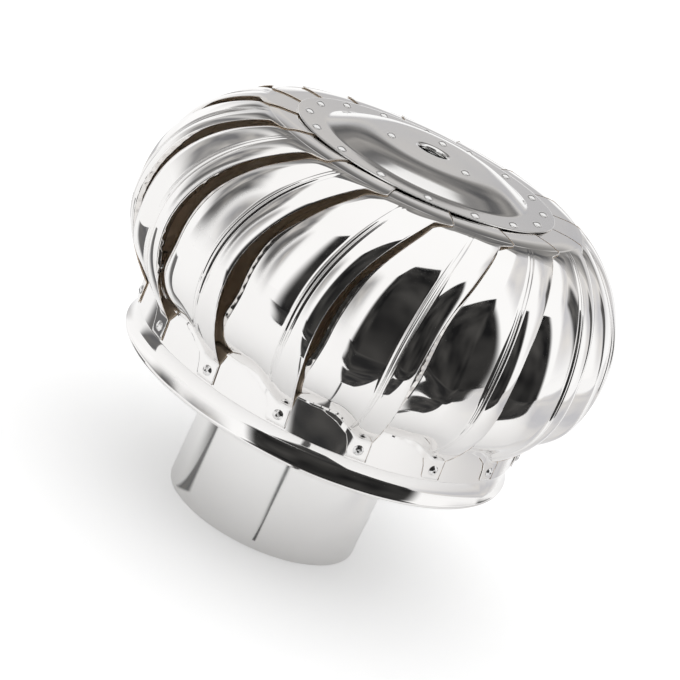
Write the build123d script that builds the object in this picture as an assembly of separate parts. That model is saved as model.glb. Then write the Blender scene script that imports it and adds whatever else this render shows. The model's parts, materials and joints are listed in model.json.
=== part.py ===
from build123d import *
import math
import os

# Roof turbine ventilator. Millimetres, +Z up, origin on the axis at the foot of the neck pipe.
# The vaned rotor turns on two ball bearings about a fixed spindle, which stands on a bar
# riveted across the neck. One vane's top rivet lies on +X. Turns are degrees about +Z.

# Sheet thicknesses and clearances
neck_wall = 0.8
vane_sheet = 0.5
disc_sheet = 0.8
ring_sheet = 0.6
pan_sheet = 0.6
lap_clear = 0.1
seat_clear = 0.05

# Neck pipe and base pan
neck_radius = 55.0
neck_height = 98.0
neck_stand = 3.0
collar_height = 9.0
swage_drop = 4.0
swage_length = 2.0
pan_fall = 7.0
pan_lip = 3.5
pan_bend = 2.0
pan_run_gap = 3.5

# Cross bar
bar_width = 26.0
bar_thick = 3.0
bar_rise = 15.0
bar_rivet_spread = 8.0
collar_rivet_inset = 4.0

# Spindle and what is stacked on it
spindle_radius = 6.0
stud_radius = 5.0
stud_tail = 4.0
nut_flats = 17.0
nut_height = 8.0
washer_radius = 10.0
washer_thick = 2.0
end_nut_flats = 13.0
end_nut_height = 6.5
end_washer_radius = 5.8
end_washer_thick = 1.2
spindle_end = 1.0

# Shielded ball bearings
lower_bearing_level = 168.0
bearing_spread = 30.0
bearing_bore = 4.0
bearing_outer = 11.0
bearing_width = 7.0
inner_land = 6.1
outer_land = 9.2
shield_thick = 0.5
shield_inset = 0.3
shield_clear = 0.06

# Hub
hub_wall = 2.5
hub_shoulder = 1.5
hub_tail = 3.0
hub_fillet = 3.0
flange_radius = 31.0
flange_thick = 2.0
circlip_thick = 1.0
circlip_bite = 1.0
circlip_reach = 1.4
circlip_mouth = 50.0
hub_rivet_radius = 24.8
hub_rivet_count = 3
hub_rivet_phase = 76.5

# Top disc
disc_radius = 73.7
disc_level = 216.3
dome_foot_radius = 57.6
dome_shoulder_radius = 50.5
dome_height = 7.4
dome_foot_fillet = 3.0
dome_shoulder_fillet = 8.0
eye_radius = 8.15
eye_lip_radius = 10.6
eye_dip = 1.2

# Rivets
rivet_shank = 1.6
rivet_head = 2.75
rivet_rise = 1.3
rivet_tail = 2.3
rivet_tail_length = 1.6
pin_hole = 0.9
pin_depth = 0.9

# Vanes: places of the blade's lines
vane_count = 16
vane_overlap = 5.0
top_rivet_radius = 67.0
tongue_root = 60.5
tongue_aim = -4.0
tongue_bend_radius = 90.4
ear_turn = 9.3
ear_start = 0.82
belly_swell = 23.5
belly_level = 149.3
foot_level = 102.0
foot_radius = 111.3
foot_rivet_level = 95.9
foot_rivet_turn = -13.4
foot_aim = -20.0
tip_level = 90.8
tab_side = 2.5
lip_level = 109.0
lip_turn = -14.0
lip_spread = 10.0
free_edge_turn = -12.3
free_edge_sweep = 16.8
foot_edge_swing = 2.1
crease_turn = -17.8
crease_sweep = 11.3

# Vanes: form across the blade
tuck_depth = 13.8
roll_start = 0.37
lobe_rise = 1.2
ridge_rise = 1.2
ridge_half = 1.7
crown_rows = 11
skirt_rows = 7
sweep_power = 2.1
skirt_power = 2.1
lip_lift = 7.6
lip_round = 1.1

# Rotor ring
ring_top = 114.0
step_level = 89.8
step_depth = 0.5
cove_depth = 0.4
cove_level = 83.5
bead_level = 75.6
bead_tube = 1.75
bead_proud = 1.4

pitch = 360.0 / vane_count
collar_top = neck_height - neck_stand
collar_foot = collar_top - collar_height
swage_level = collar_foot - swage_drop
bar_top = collar_top - bar_rise
collar_radius = neck_radius - pan_sheet
swage_radius = collar_radius - lap_clear
swage_bore = swage_radius - neck_wall
belly_radius = foot_radius + belly_swell
disc_under = disc_level - disc_sheet
dome_top = disc_level + dome_height
dome_under = dome_top - disc_sheet
tongue_top = disc_under - lap_clear
lap_drop = vane_sheet + lap_clear
ring_radius = foot_radius - vane_sheet - 2.0 * lap_clear
cove_radius = ring_radius - step_depth - cove_depth
bead_centre = ring_radius + bead_proud - bead_tube
upper_bearing_level = lower_bearing_level + bearing_width + bearing_spread
stack_top = upper_bearing_level + bearing_width
hub_radius = bearing_outer + hub_wall
collar_rivet_level = collar_top - collar_rivet_inset
shank_hole = rivet_shank + seat_clear

ON_FOOT = (Align.CENTER, Align.CENTER, Align.MIN)
UNDER_TOP = (Align.CENTER, Align.CENTER, Align.MAX)


def polar(radius, turn, level=0.0):
    """Point at a radius, a turn about the axis and a level."""
    angle = math.radians(turn)
    return Vector(radius * math.cos(angle), radius * math.sin(angle), level)


def spun(face):
    """Full turn of a face drawn with radius as X and level as Y."""
    return revolve(Plane.XZ * face, Axis.Z)


def spun_sheet(line, sheet, side):
    """Full turn of a sheet whose one skin is an open line of radius and level."""
    outline = Wire(line.edges()).offset_2d(sheet, kind=Kind.INTERSECTION, side=side)
    return spun(make_face(outline))


def tube(outer, inner, foot, top):
    """Round tube about the axis between two levels."""
    wall = Cylinder(outer, top - foot, align=ON_FOOT)
    hole = Cylinder(inner, top - foot, align=ON_FOOT)
    return Pos(0, 0, foot) * (wall - hole)


def around(shape, count, first=0.0):
    """Copies of a shape spaced evenly about the axis."""
    return [Rot(0, 0, first + index * 360.0 / count) * shape for index in range(count)]


def drilled(body, holes):
    """Body with every hole taken out of it."""
    for hole in holes:
        body = body - hole
    return body


def save(node, *shapes):
    """Write one sub-part, of one solid or several, to its own file."""
    solids = [solid for shape in shapes for solid in shape.solids()]
    whole = solids[0] if len(solids) == 1 else Compound(children=solids)
    export_step(whole, "parts/" + node + ".step")


# ---------------------------------------------------------------------------------- fasteners


def upright_hole(radius, turn, level):
    """Rivet hole along Z."""
    return Pos(polar(radius, turn, level)) * Cylinder(shank_hole, 10.0)


def radial(radius, turn, level):
    """Place whose Z looks out along a radius."""
    return Rot(0, 0, turn) * Pos(radius, 0, level) * Rot(0, 90, 0)


def radial_hole(radius, turn, level):
    """Rivet hole along a radius."""
    return radial(radius, turn, level) * Cylinder(shank_hole, 10.0)


def dome_head(radius, rise):
    """Domed rivet head standing on the origin."""
    ball = (radius ** 2 + rise ** 2) / (2.0 * rise)
    return Cylinder(radius, rise, align=ON_FOOT) & (Pos(0, 0, rise - ball) * Sphere(ball))


def solid_rivet(grip):
    """Solid rivet, its head seated at the origin and its tail set below the grip."""
    shank = Cylinder(rivet_shank, grip, align=UNDER_TOP)
    tail = Pos(0, 0, -grip) * Cylinder(rivet_tail, rivet_tail_length, align=UNDER_TOP)
    return dome_head(rivet_head, rivet_rise) + shank + tail


def blind_rivet(grip):
    """Blind rivet, with the drawn pin's hole in the middle of its head."""
    hole = Pos(0, 0, rivet_rise) * Cylinder(pin_hole, 2.0 * pin_depth)
    return solid_rivet(grip) - hole


def nut(flats, bore, height, foot):
    """Hexagon nut on the axis."""
    hexagon = RegularPolygon(flats / 2.0, 6, major_radius=False)
    return Pos(0, 0, foot) * (extrude(hexagon, height) - Cylinder(bore, height, align=ON_FOOT))


# --------------------------------------------------------------------------------------- vane

crown_rise = tongue_top - belly_level
crown_inset = belly_radius - tongue_bend_radius
crown_radius = (crown_rise ** 2 + crown_inset ** 2) / (2.0 * crown_inset)
crown_angle = math.asin(crown_rise / crown_radius)


def free_edge(share):
    """Turn of the free edge; share goes from 0 at the belly to 1 at the tongue's bend."""
    return free_edge_turn + free_edge_sweep * share ** sweep_power


def crease(share):
    """Turn of the pressed ridge."""
    return crease_turn + crease_sweep * share ** sweep_power


def inner_edge(share):
    """Turn of the edge that is tucked in behind the next vane."""
    return free_edge_turn - pitch - vane_overlap + (ear_turn - free_edge_turn) * share ** 3


def roll_in(across):
    """Share of the tuck across the wide lobe, from 0 at the ridge to 1 at the inner edge."""
    return max(0.0, (across - roll_start) / (1.0 - roll_start)) ** 1.5


def crest(across):
    """Rounding of a lobe, 0 at its sides and 1 in its middle."""
    return 1.0 - (2.0 * across - 1.0) ** 2


def crown_share(place):
    """Share of the crown's arc above the belly."""
    return place / crown_angle


def lip(turn):
    """How much of the wide lobe's curled lip a turn has, 0 at the rivet to 1 across the lobe."""
    share = min(1.0, max(0.0, (lip_turn - turn) / lip_spread))
    return share ** 2 * (3.0 - 2.0 * share)


def skin_point(row, turn, rise, tuck, drop):
    """Point on the outer skin.

    A row is a kind and a place: a distance on the flat tongue, an angle on the crown, a share
    of the fall from the belly to the bend at the foot on the skirt, or a level on the tab.
    """
    kind, place = row
    if kind == "tongue":
        return polar(place / math.cos(math.radians(turn - tongue_aim)), turn, tongue_top - drop)
    if kind == "crown":
        share = crown_share(place)
        inset = drop + tuck * tuck_depth * (1.0 - share ** 2) - rise * (1.0 - share ** 4)
        reach = belly_radius - crown_radius * (1.0 - math.cos(place)) - inset * math.cos(place)
        return polar(reach, turn, belly_level + (crown_radius - inset) * math.sin(place))
    if kind == "skirt":
        fall = belly_level - foot_level - lip_lift * lip(turn)
        swell = (belly_radius - foot_radius) * (1.0 - place ** (skirt_power + lip_round * lip(turn)))
        swell = swell + (rise - tuck * tuck_depth - drop) * (1.0 - place ** 2)
        return polar(foot_radius + swell, turn, belly_level - fall * place)
    return polar(foot_radius, turn, place)


def row_stations(row):
    """Free edge's turn, then turn, rise and tuck of the points across a row of the blade."""
    kind, place = row
    share = {"tongue": 1.0, "crown": crown_share(place)}.get(kind, 0.0)
    ear = max(0.0, (share - ear_start) / (1.0 - ear_start)) ** 0.5
    edge = free_edge(share) + (ear_turn - free_edge(1.0)) * ear
    if kind == "skirt":
        fallen = place * (belly_level - foot_level) / (belly_level - tip_level)
        edge = edge + foot_edge_swing * fallen**1.5
    if kind == "tab":
        edge = edge + foot_edge_swing
    half = math.degrees(ridge_half / belly_radius)
    near = crease(share) + half
    far = crease(share) - half
    narrow = []
    for across in (0.0, 0.33, 0.67, 1.0):
        narrow.append((edge + (near - edge) * across, lobe_rise * crest(across), 0.0))
    wide = []
    for across in (0.0, 0.15, 0.3, 0.45, 0.6, 0.8, 1.0):
        turn = far + (inner_edge(share) - far) * across
        wide.append((turn, lobe_rise * crest(min(1.0, across / 0.8)), roll_in(across)))
    return edge, narrow, (crease(share), ridge_rise, 0.0), wide


def sheet_point(row, edge, station, depth):
    """Point at a depth below the outer skin, measured square to it."""
    kind, place = row
    turn, rise, tuck = station
    step = 1e-3
    drop = lap_drop * (edge - turn) / pitch
    rise = rise - lobe_rise
    spot = skin_point(row, turn, rise, tuck, drop)
    if kind == "tongue":
        return spot - Vector(0.0, 0.0, depth)
    if kind == "tab" or row == ("skirt", 1.0):
        return spot - polar(depth, turn)
    side = skin_point(row, turn + step, rise, tuck, drop)
    beside = skin_point((kind, place + step), turn, rise, tuck, drop)
    normal = (side - spot).cross(beside - spot).normalized()
    if normal.dot(polar(1.0, turn, 0.5)) < 0.0:
        normal = normal * -1.0
    return spot - normal * depth


def section(row):
    """Closed thin outline across the blade: narrow lobe, ridge and wide lobe, out and back."""
    edge, narrow, ridge, wide = row_stations(row)
    out_narrow = [sheet_point(row, edge, spot, 0.0) for spot in narrow]
    out_ridge = sheet_point(row, edge, ridge, 0.0)
    out_wide = [sheet_point(row, edge, spot, 0.0) for spot in wide]
    back_narrow = [sheet_point(row, edge, spot, vane_sheet) for spot in narrow]
    back_ridge = sheet_point(row, edge, ridge, vane_sheet)
    back_wide = [sheet_point(row, edge, spot, vane_sheet) for spot in wide]
    return Wire([
        Edge.make_spline(out_narrow),
        Edge.make_line(out_narrow[-1], out_ridge),
        Edge.make_line(out_ridge, out_wide[0]),
        Edge.make_spline(out_wide),
        Edge.make_line(out_wide[-1], back_wide[-1]),
        Edge.make_spline(back_wide[::-1]),
        Edge.make_line(back_wide[0], back_ridge),
        Edge.make_line(back_ridge, back_narrow[-1]),
        Edge.make_spline(back_narrow[::-1]),
        Edge.make_line(back_narrow[0], out_narrow[0]),
    ])


def shoulder_cut():
    """Cutter that steps the free edge back beside the tongue's ear, seen from above."""
    join = belly_radius - crown_radius * (1.0 - math.cos(crown_angle * ear_start))
    corner = tongue_bend_radius + 0.6
    edge = Spline(
        polar(corner, ear_turn + 0.1),
        polar(corner + 2.6, (ear_turn + free_edge(0.94)) / 2.0),
        polar(corner + 6.0, free_edge(0.93)),
        polar(join, free_edge(ear_start)),
    )
    outside = Polyline(
        polar(join, free_edge(ear_start)),
        polar(belly_radius, free_edge(ear_start)),
        polar(belly_radius, ear_turn + 8.0),
        polar(corner, ear_turn + 8.0),
        polar(corner, ear_turn + 0.1),
    )
    return Pos(0, 0, belly_level) * extrude(make_face(edge + outside), crown_radius)


def foot_cut():
    """Cutter for the lower edge: a tab round the rivet, then a slope up to the tucked edge."""

    def across(turn):
        return foot_radius * math.sin(math.radians(turn - foot_aim))

    tab = across(foot_rivet_turn - tab_side)
    high = across(inner_edge(0.0) - 2.0)
    low = across(free_edge_turn + 4.0 * tab_side)
    slope = Spline(
        (tab, tip_level),
        (across(foot_rivet_turn - tab_side - 1.2), foot_rivet_level + 3.5),
        (across(crease_turn - 1.5), lip_level - 6.0),
        (across(crease_turn - 6.5), lip_level - 1.6),
        (high, lip_level),
    )
    under = Polyline((high, lip_level), (high, 0.0), (low, 0.0), (low, tip_level), (tab, tip_level))
    facing = Plane(origin=(foot_radius - belly_swell, 0, 0), x_dir=(0, 1, 0), z_dir=(1, 0, 0))
    return Rot(0, 0, foot_aim) * extrude(facing * make_face(slope + under), 2.0 * belly_swell)


def vane():
    """One vane: flat tongue bent down into a twisted, lobed blade with a tab on the ring."""
    rows = [("crown", crown_angle * (1.0 - row / crown_rows)) for row in range(crown_rows)]
    rows += [("skirt", row / skirt_rows) for row in range(skirt_rows + 1)]
    wires = [section(row) for row in rows]
    root = section(("tongue", tongue_root))
    end = section(("tab", tip_level - seat_clear))
    tongue = Shell.make_loft([root, wires[0]], ruled=True)
    blade = Shell.make_loft(wires)
    tab = Shell.make_loft([wires[-1], end], ruled=True)
    blank = Solid(Shell(tongue.faces() + blade.faces() + tab.faces() + [Face(root), Face(end)]))
    holes = [
        upright_hole(top_rivet_radius, 0.0, tongue_top),
        radial_hole(foot_radius, foot_rivet_turn, foot_rivet_level),
    ]
    return drilled(blank - shoulder_cut() - foot_cut(), holes)


# -------------------------------------------------------------------------------------- rotor


def top_disc():
    """Spun cap: flat rim over the tongues, steep dome and a dished eye in its middle."""
    skin = FilletPolyline(
        (disc_radius, disc_level),
        (dome_foot_radius, disc_level),
        (dome_shoulder_radius, dome_top),
        (eye_lip_radius, dome_top),
        (eye_radius, dome_top - eye_dip),
        radius=[dome_foot_fillet, dome_shoulder_fillet, disc_sheet],
    )
    cap = spun_sheet(skin, disc_sheet, Side.LEFT)
    rim = [upright_hole(top_rivet_radius, index * pitch, disc_level) for index in range(vane_count)]
    return drilled(cap, rim + hub_rivet_holes(dome_top))


def hub_rivet_holes(level):
    """Holes for the rivets that hold the hub under the dome."""
    return around(upright_hole(hub_rivet_radius, 0.0, level), hub_rivet_count, hub_rivet_phase)


def hub_housing():
    """Turned hub: flange under the dome, barrel with a bearing seat at each end and a shoulder."""
    top = dome_under - lap_clear
    foot = lower_bearing_level - hub_tail
    barrel = tube(hub_radius, bearing_outer, foot, top)
    flange = tube(flange_radius, bearing_outer, top - flange_thick, top)
    shoulder = tube(
        bearing_outer,
        bearing_outer - hub_shoulder,
        lower_bearing_level + bearing_width,
        upper_bearing_level,
    )
    body = barrel + flange + shoulder
    neck = body.edges().filter_by(GeomType.CIRCLE)
    neck = [edge for edge in neck if abs(edge.radius - hub_radius) < seat_clear]
    neck = [edge for edge in neck if edge.center().Z > dome_under - 2.0 * flange_thick]
    body = fillet(neck, hub_fillet)
    groove_top = lower_bearing_level - seat_clear
    groove_foot = groove_top - circlip_thick - seat_clear
    groove = tube(bearing_outer + circlip_bite + seat_clear, bearing_outer - 1.0, groove_foot, groove_top)
    return drilled(body, [groove] + hub_rivet_holes(top))


def circlip():
    """Open spring ring in the hub's groove, under the lower bearing."""
    top = lower_bearing_level - seat_clear
    ring = tube(bearing_outer + circlip_bite, bearing_outer - circlip_reach, top - circlip_thick, top)
    reach = bearing_outer + hub_wall
    mouth = Polyline(
        (0, 0),
        polar(reach * 2.0, -circlip_mouth / 2.0),
        polar(reach * 2.0, circlip_mouth / 2.0),
        close=True,
    )
    return ring - Pos(0, 0, top - 2.0 * circlip_thick) * extrude(make_face(mouth), 3.0 * circlip_thick)


def bottom_ring():
    """Spun ring: band under the vanes' feet, pressed step, cove and wired edge."""
    inset = ring_radius - step_depth
    band = Polyline((ring_radius, ring_top), (ring_radius, step_level), (inset, step_level - step_depth))
    cove = ThreePointArc(
        (inset, step_level - step_depth),
        (cove_radius, cove_level),
        (bead_centre + 0.4 * bead_tube, bead_level + 0.7 * bead_tube),
    )
    wired_edge = Pos(0, 0, bead_level) * Torus(bead_centre, bead_tube)
    ring = spun_sheet(band + cove, ring_sheet, Side.RIGHT) + wired_edge
    holes = around(radial_hole(ring_radius, 0.0, foot_rivet_level), vane_count, foot_rivet_turn)
    return drilled(ring, holes)


def top_rivets():
    """Rivets through the disc's rim and the vanes' tongues."""
    tail_turn = math.degrees(rivet_tail / top_rivet_radius)
    lap = lap_drop * (ear_turn + tail_turn) / pitch
    grip = disc_sheet + lap_clear + lap + vane_sheet + seat_clear
    return around(Pos(top_rivet_radius, 0, disc_level) * solid_rivet(grip), vane_count)


def hub_rivets():
    """Rivets through the dome and the hub's flange."""
    grip = disc_sheet + lap_clear + flange_thick + seat_clear
    seat = Pos(hub_rivet_radius, 0, dome_top)
    return around(seat * solid_rivet(grip), hub_rivet_count, hub_rivet_phase)


def foot_rivets():
    """Blind rivets through the vanes' tabs and the ring."""
    seat = foot_radius + seat_clear
    sag = ring_radius - ring_sheet - math.sqrt((ring_radius - ring_sheet) ** 2 - rivet_tail ** 2)
    grip = seat - (ring_radius - ring_sheet) + sag
    return around(radial(seat, 0.0, foot_rivet_level) * blind_rivet(grip), vane_count, foot_rivet_turn)


# ----------------------------------------------------------------------------------- bearings


def shields(level):
    """Two shields of a bearing, held by its outer ring and just clear of its inner ring."""
    lower = level + shield_inset
    upper = level + bearing_width - shield_inset - shield_thick
    bore = inner_land + shield_clear
    return [tube(outer_land, bore, foot, foot + shield_thick) for foot in (lower, upper)]


def save_bearing(name, level):
    """Write one shielded bearing's inner ring, outer ring and shields."""
    top = level + bearing_width
    save(name + "_inner_ring", tube(inner_land, bearing_bore, level, top))
    save(name + "_outer_ring", tube(bearing_outer, outer_land, level, top))
    save(name + "_shields", *shields(level))


# --------------------------------------------------------------------------------------- base


def neck_pipe():
    """Pipe that plugs into the duct, swaged in at its upper end to take the pan's collar."""
    skin = Polyline(
        (neck_radius, 0.0),
        (neck_radius, swage_level),
        (swage_radius, swage_level + swage_length),
        (swage_radius, neck_height),
    )
    return drilled(spun_sheet(skin, neck_wall, Side.LEFT), collar_holes(swage_radius))


def collar_turns():
    """Turns of the rivets round the collar: a pair at each end of the bar, and one between."""
    near_end = [-bar_rivet_spread, bar_rivet_spread, 90.0]
    far_end = [180.0 - bar_rivet_spread, 180.0 + bar_rivet_spread, 270.0]
    return near_end + far_end


def collar_holes(radius):
    """Rivet holes through collar, pipe and bar."""
    return [radial_hole(radius, turn, collar_rivet_level) for turn in collar_turns()]


def base_pan():
    """Sloped pan round the neck that closes the rotor's underside, with a drip lip."""
    rim = bead_centre - bead_tube - pan_run_gap
    skin = FilletPolyline(
        (collar_radius, collar_top),
        (collar_radius, collar_foot),
        (rim, collar_foot - pan_fall),
        (rim, collar_foot - pan_fall - pan_lip),
        radius=[pan_bend, pan_bend],
    )
    return drilled(spun_sheet(skin, pan_sheet, Side.LEFT), collar_holes(collar_radius))


def cross_bar():
    """Flat bar across the neck with its ends turned up against the wall, drilled for the stud."""
    outer = swage_bore - lap_clear
    trough = tube(outer, outer - bar_thick, bar_top - bar_thick, collar_top)
    floor = tube(outer, stud_radius + seat_clear, bar_top - bar_thick, bar_top)
    strip = Pos(0, 0, bar_top - bar_thick) * Box(2.0 * neck_radius, bar_width, neck_height, align=ON_FOOT)
    return drilled((trough + floor) & strip, collar_holes(outer))


def collar_rivets():
    """Blind rivets through collar and pipe, and through the bar's ends as well."""
    seat = neck_radius
    rivets = []
    for turn in collar_turns():
        back = swage_bore
        if turn not in (90.0, 270.0):
            back = swage_bore - lap_clear - bar_thick
        sag = back - math.sqrt(back ** 2 - rivet_tail ** 2)
        place = radial(seat, turn, collar_rivet_level)
        rivets.append(place * blind_rivet(seat - back + sag))
    return rivets


def spindle():
    """Turned spindle: stud through the bar, body, and journal for both bearings."""
    stud_foot = bar_top - bar_thick - washer_thick - nut_height - stud_tail
    journal_top = stack_top + end_washer_thick + end_nut_height + spindle_end
    stud = Pos(0, 0, stud_foot) * Cylinder(stud_radius, bar_top - stud_foot, align=ON_FOOT)
    body = Pos(0, 0, bar_top) * Cylinder(spindle_radius, lower_bearing_level - bar_top, align=ON_FOOT)
    journal = Pos(0, 0, lower_bearing_level)
    journal = journal * Cylinder(bearing_bore, journal_top - lower_bearing_level, align=ON_FOOT)
    return stud + body + journal


def main():
    """Write every sub-part."""
    os.makedirs("parts", exist_ok=True)

    bar_foot = bar_top - bar_thick
    save("neck_pipe", neck_pipe())
    save("base_pan", base_pan())
    save("cross_bar", cross_bar())
    save("collar_rivets", *collar_rivets())
    save("spindle", spindle())
    save("spindle_washer", tube(washer_radius, stud_radius, bar_foot - washer_thick, bar_foot))
    save("spindle_nut", nut(nut_flats, stud_radius, nut_height, bar_foot - washer_thick - nut_height))
    spacer_foot = lower_bearing_level + bearing_width
    save("bearing_spacer", tube(inner_land, bearing_bore, spacer_foot, upper_bearing_level))
    save("end_washer", tube(end_washer_radius, bearing_bore, stack_top, stack_top + end_washer_thick))
    save("end_nut", nut(end_nut_flats, bearing_bore, end_nut_height, stack_top + end_washer_thick))

    save_bearing("lower_bearing", lower_bearing_level)
    save_bearing("upper_bearing", upper_bearing_level)

    save("hub_housing", hub_housing())
    save("hub_circlip", circlip())
    save("hub_rivets", *hub_rivets())
    save("top_disc", top_disc())
    save("top_rivets", *top_rivets())
    save("bottom_ring", bottom_ring())
    save("foot_rivets", *foot_rivets())
    blade = vane()
    for index, copy in enumerate(around(blade, vane_count)):
        save("vane_{:02d}".format(index + 1), copy)


main()
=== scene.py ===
"""Looks of a roof turbine ventilator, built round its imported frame.

A rotor of sixteen lapped sheet vanes turns about +Z on a neck pipe. Lengths in the classes are
millimetres and turns are degrees about +Z. Meshes are written in metres.
"""

import json
import logging
import math
from dataclasses import dataclass, field
from enum import Enum

import bmesh
import bpy
import numpy as np
from mathutils import Matrix, Vector

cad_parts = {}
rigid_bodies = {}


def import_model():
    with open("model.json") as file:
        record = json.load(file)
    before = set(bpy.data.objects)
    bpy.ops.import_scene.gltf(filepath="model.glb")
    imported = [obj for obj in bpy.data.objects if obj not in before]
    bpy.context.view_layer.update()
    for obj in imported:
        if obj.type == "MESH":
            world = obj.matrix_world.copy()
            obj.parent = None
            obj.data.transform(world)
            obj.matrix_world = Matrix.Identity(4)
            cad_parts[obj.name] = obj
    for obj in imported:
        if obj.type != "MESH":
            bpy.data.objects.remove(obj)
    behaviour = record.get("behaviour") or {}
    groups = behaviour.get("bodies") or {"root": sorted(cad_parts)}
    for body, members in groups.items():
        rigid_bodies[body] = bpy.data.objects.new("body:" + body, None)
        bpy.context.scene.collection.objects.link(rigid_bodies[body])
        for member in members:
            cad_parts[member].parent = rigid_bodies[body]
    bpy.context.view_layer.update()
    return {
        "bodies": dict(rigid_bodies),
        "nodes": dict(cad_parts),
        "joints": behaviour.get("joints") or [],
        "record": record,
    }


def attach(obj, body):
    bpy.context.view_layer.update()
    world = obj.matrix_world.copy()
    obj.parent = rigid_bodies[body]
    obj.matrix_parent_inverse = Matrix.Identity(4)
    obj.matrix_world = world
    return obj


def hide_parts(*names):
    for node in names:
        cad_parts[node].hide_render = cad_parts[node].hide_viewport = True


LOG = logging.getLogger("ventilator")
MM = 0.001

PATCH_SCALE, PATCH_RANGE = 9.0, (0.35, 0.75)
WEAR_SCALE, WEAR_RANGE = 34.0, (0.35, 0.8)
MARK_SCALE = 120.0
CLOUD_SCALE, CLOUD_RANGE = 3.5, (0.35, 0.7)
COOL, WARM = (1.0, 1.0, 1.04), (1.0, 0.97, 0.93)

Colour = tuple[float, float, float]


class Slot(Enum):
    """The record's material slots."""

    MIRROR = "mirror_steel"
    DULL = "dull_steel"
    PIPE = "pipe_steel"
    SHEET = "sheet_steel"
    ZINC = "zinc_steel"
    TURNED = "turned_steel"
    RIVET = "rivet_metal"
    ALLOY = "cast_alloy"
    SPRING = "spring_steel"


class Grain(Enum):
    """Which way the fine marks of a metal run."""

    NONE = (1.0, 1.0, 1.0)
    UPRIGHT = (60.0, 60.0, 2.0)
    TURNED = (2.0, 2.0, 90.0)


@dataclass(frozen=True)
class Metal:
    """A bare metal finish with worn-in variation.

    Attributes:
        name: Material name.
        colour: Linear base colour.
        smudge: Second colour that the first is lightly mixed with in patches.
        roughness: Lowest and highest roughness.
        sway: Depth in millimetres of the slow waviness that bends reflections.
        sway_scale: Waves per metre of that waviness.
        scratch: Depth in millimetres of the fine marks.
        grain: Direction of the fine marks.
        metallic: How far it is bare metal, 1 for clean metal and less for a dull skin.
    """

    name: str
    colour: Colour
    smudge: Colour
    roughness: tuple[float, float]
    sway: float = 0.05
    sway_scale: float = 22.0
    scratch: float = 0.002
    grain: Grain = Grain.NONE
    metallic: float = 1.0

    def build(self) -> bpy.types.Material:
        """Make the node material.

        Returns:
            The new material.
        """
        material, nodes, shader = blank(self.name)
        shader.inputs["Metallic"].default_value = self.metallic
        place = nodes.add("ShaderNodeTexCoord").outputs["Object"]

        patches = nodes.noise(place, scale=PATCH_SCALE, detail=4.0)
        tint = nodes.add("ShaderNodeMix", data_type="RGBA")
        tint.inputs["A"].default_value = (*self.colour, 1.0)
        tint.inputs["B"].default_value = (*self.smudge, 1.0)
        nodes.link(nodes.ramp(patches, *PATCH_RANGE, 0.0, 1.0), tint.inputs["Factor"])
        nodes.link(tint.outputs["Result"], shader.inputs["Base Color"])

        wear = nodes.noise(place, scale=WEAR_SCALE, detail=8.0)
        nodes.link(nodes.ramp(wear, *WEAR_RANGE, *self.roughness), shader.inputs["Roughness"])

        waves = nodes.noise(place, scale=self.sway_scale, detail=1.0)
        slow = nodes.bump(waves, self.sway)
        mapping = nodes.add("ShaderNodeMapping")
        mapping.inputs["Scale"].default_value = self.grain.value
        nodes.link(place, mapping.inputs["Vector"])
        marks = nodes.noise(mapping.outputs["Vector"], scale=MARK_SCALE, detail=6.0)
        fine = nodes.bump(marks, self.scratch, slow)
        nodes.link(fine, shader.inputs["Normal"])
        return material


class Nodes:
    """Shorthands for building a node tree."""

    def __init__(self, tree: bpy.types.NodeTree) -> None:
        """Keep the tree.

        Args:
            tree: The tree to add to.
        """
        self.tree = tree

    def add(self, kind: str, **settings: object) -> bpy.types.Node:
        """Add a node.

        Args:
            kind: Blender's node type.
            **settings: Properties to set on it.

        Returns:
            The node.
        """
        node = self.tree.nodes.new(kind)
        for name, value in settings.items():
            setattr(node, name, value)
        return node

    def link(self, source: bpy.types.NodeSocket, target: bpy.types.NodeSocket) -> None:
        """Join two sockets."""
        self.tree.links.new(source, target)

    def math(self, operation: str, *values: object) -> bpy.types.NodeSocket:
        """Add a math node.

        Args:
            operation: What it works out.
            *values: A socket or a number for each of its inputs.

        Returns:
            The result's socket.
        """
        node = self.add("ShaderNodeMath", operation=operation)
        for socket, value in zip(node.inputs, values):
            if isinstance(value, bpy.types.NodeSocket):
                self.link(value, socket)
            else:
                socket.default_value = value
        return node.outputs["Value"]

    def noise(
        self, place: bpy.types.NodeSocket, scale: float, detail: float
    ) -> bpy.types.NodeSocket:
        """Add a noise texture.

        Args:
            place: Coordinates to read.
            scale: Features per metre.
            detail: Octaves.

        Returns:
            The noise's value socket.
        """
        node = self.add("ShaderNodeTexNoise")
        node.inputs["Scale"].default_value = scale
        node.inputs["Detail"].default_value = detail
        self.link(place, node.inputs["Vector"])
        return node.outputs["Fac"]

    def ramp(
        self, value: bpy.types.NodeSocket, start: float, end: float, low: float, high: float
    ) -> bpy.types.NodeSocket:
        """Map a value's range to another one, held at both ends.

        Args:
            value: The value to map.
            start: Where the range starts.
            end: Where it ends.
            low: Result at the start.
            high: Result at the end.

        Returns:
            The mapped value's socket.
        """
        node = self.add("ShaderNodeMapRange")
        node.inputs["From Min"].default_value = start
        node.inputs["From Max"].default_value = end
        node.inputs["To Min"].default_value = low
        node.inputs["To Max"].default_value = high
        self.link(value, node.inputs["Value"])
        return node.outputs["Result"]

    def bump(
        self,
        height: bpy.types.NodeSocket,
        depth: float,
        normal: bpy.types.NodeSocket | None = None,
    ) -> bpy.types.NodeSocket:
        """Add a bump.

        Args:
            height: Height value.
            depth: Depth in millimetres.
            normal: Normal to start from.

        Returns:
            The bent normal's socket.
        """
        node = self.add("ShaderNodeBump")
        node.inputs["Strength"].default_value = 1.0
        node.inputs["Distance"].default_value = depth * MM
        self.link(height, node.inputs["Height"])
        if normal is not None:
            self.link(normal, node.inputs["Normal"])
        return node.outputs["Normal"]


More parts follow.
